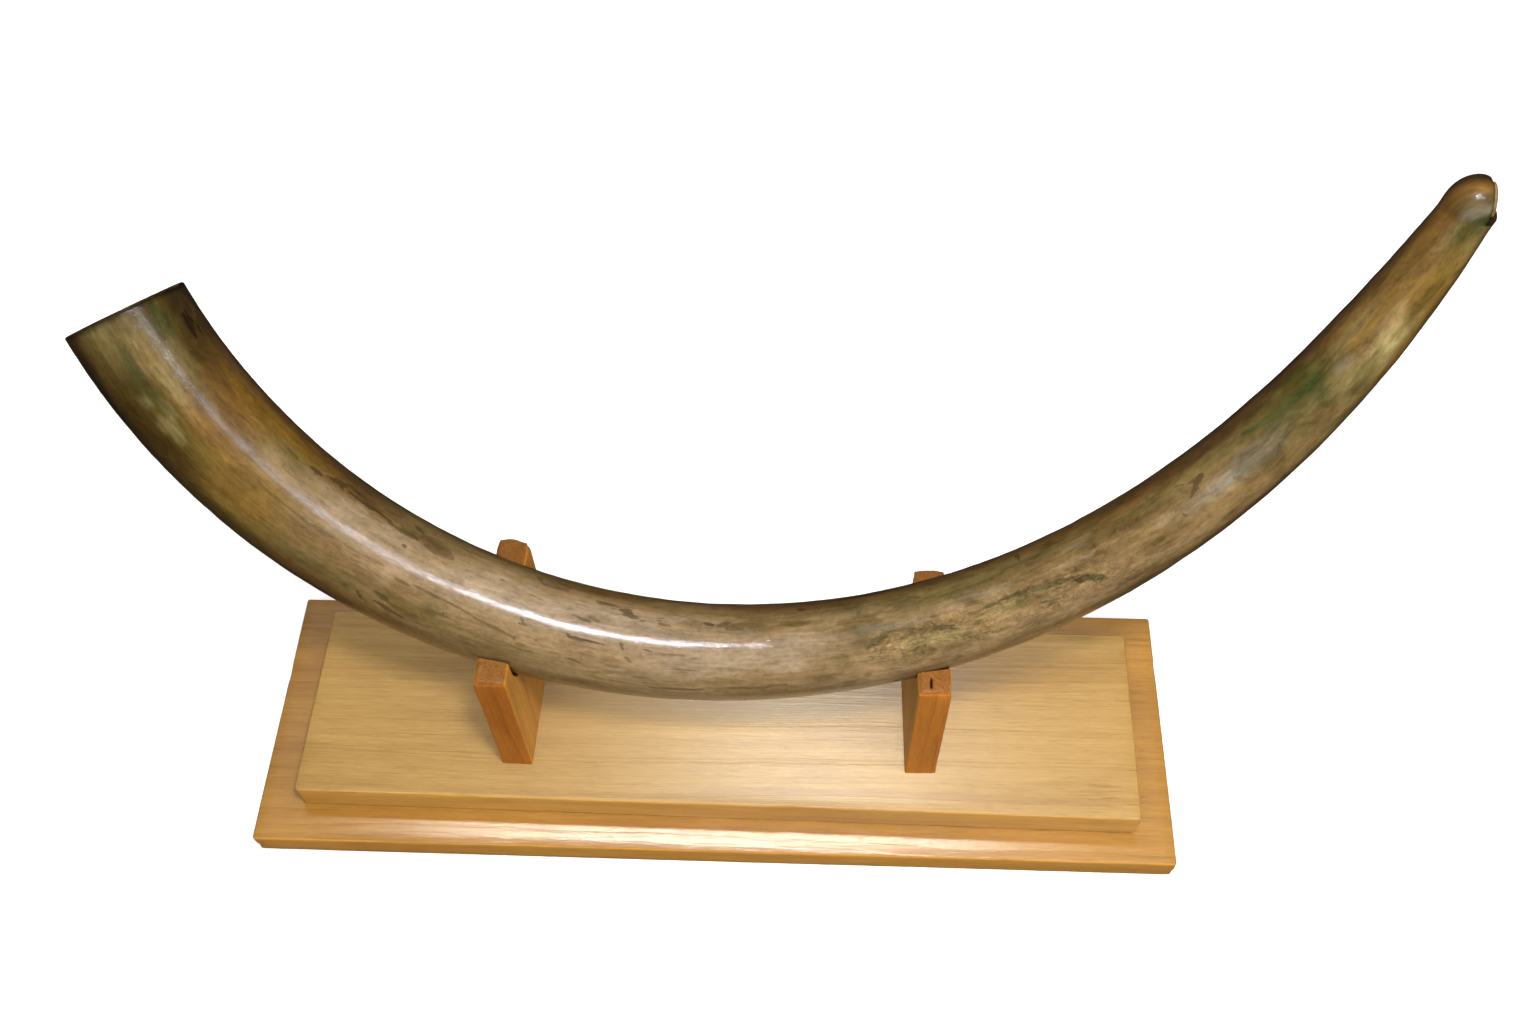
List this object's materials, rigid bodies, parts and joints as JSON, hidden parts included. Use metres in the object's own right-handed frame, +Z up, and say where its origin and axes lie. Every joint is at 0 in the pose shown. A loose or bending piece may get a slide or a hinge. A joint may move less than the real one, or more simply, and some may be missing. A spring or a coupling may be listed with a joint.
{
  "type": "didgeridoo on display stand",
  "caption": "Long curved tusk-shaped horn didgeridoo, hollow from wide open end to small mouth hole, lying in notched planks on a stepped two-board pine stand.",
  "frame": {"origin": "centre of the lower base board's underside, where the stand rests", "axes": "+Z up, +X along the stand towards the horn's narrow mouth end, +Y from the stand's front to its back"},
  "size_m": [0.7337, 0.2244, 0.4543],
  "materials": {
    "pine_lower": "glossy clear varnish over orange pine",
    "pine_upper": "glossy clear varnish over pale pine",
    "pine_cradle": "satin varnish, end grain on the prongs",
    "horn": "polished mottled horn, cream to brown with dark streaks and green-grey patches",
    "beeswax": "worn beeswax",
    "screw_steel": "zinc-plated steel"
  },
  "bodies": {
    "stand": {"lower_base_board": "pine_lower", "upper_base_board": "pine_upper", "left_cradle": "pine_cradle", "right_cradle": "pine_cradle", "left_cradle_screw_front": "screw_steel", "left_cradle_screw_back": "screw_steel", "right_cradle_screw_front": "screw_steel", "right_cradle_screw_back": "screw_steel", "base_screw_front_left": "screw_steel", "base_screw_front_right": "screw_steel", "base_screw_back_left": "screw_steel", "base_screw_back_right": "screw_steel"},
    "horn": {"horn_body": "horn", "beeswax_mouthpiece": "beeswax"}
  },
  "joints": [
    {"name": "horn_lift", "type": "slide", "parent": "stand", "child": "horn", "axis": [0, 0, 1], "range_m": [0, 0.12]}
  ]
}
